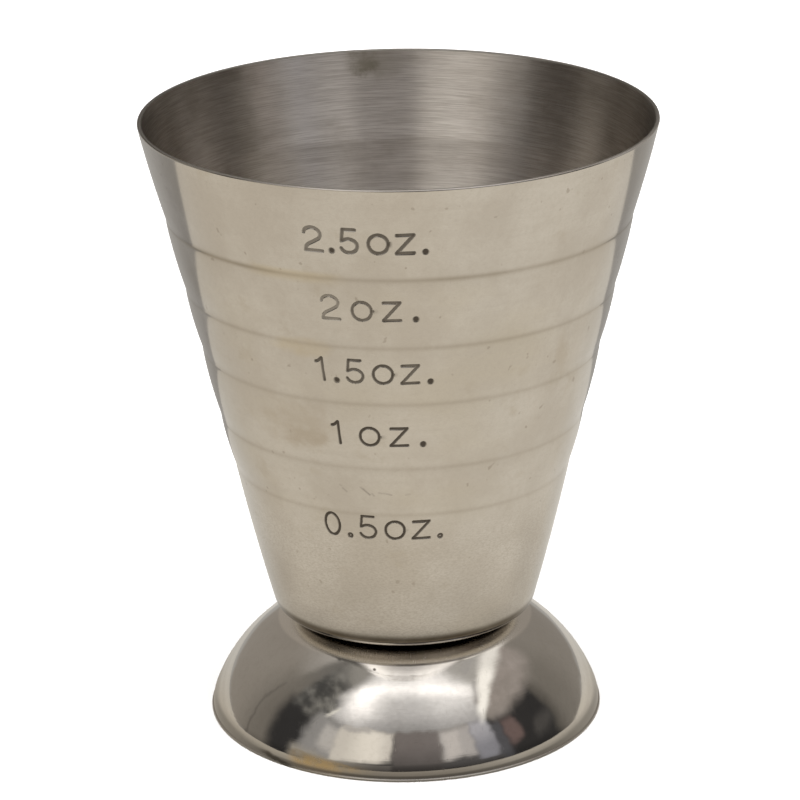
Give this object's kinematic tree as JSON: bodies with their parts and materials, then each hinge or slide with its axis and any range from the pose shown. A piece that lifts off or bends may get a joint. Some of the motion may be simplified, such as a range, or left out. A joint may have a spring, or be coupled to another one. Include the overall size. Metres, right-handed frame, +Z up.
{
  "type": "cocktail jigger",
  "caption": "Footed bar measure: a stepped cone cup of polished sheet steel with stamped ounce graduations, spot-welded to a hollow bell foot.",
  "frame": {"origin": "on the surface that the foot stands on, under the middle of the foot", "axes": "+Z up along the cup's axis, -Y is the side with the graduations"},
  "size_m": [0.063, 0.063, 0.0769],
  "materials": {
    "cup_steel": "polished outside with fine handling scratches and faint tarnish, ring-brushed inside",
    "foot_steel": "polished, with fine scratches, small pits and a warm tarnish near the bottom edge",
    "weld_steel": "fused, dull"
  },
  "bodies": {
    "root": {"cup": "cup_steel", "foot": "foot_steel", "spot_welds": "weld_steel"}
  },
  "joints": []
}
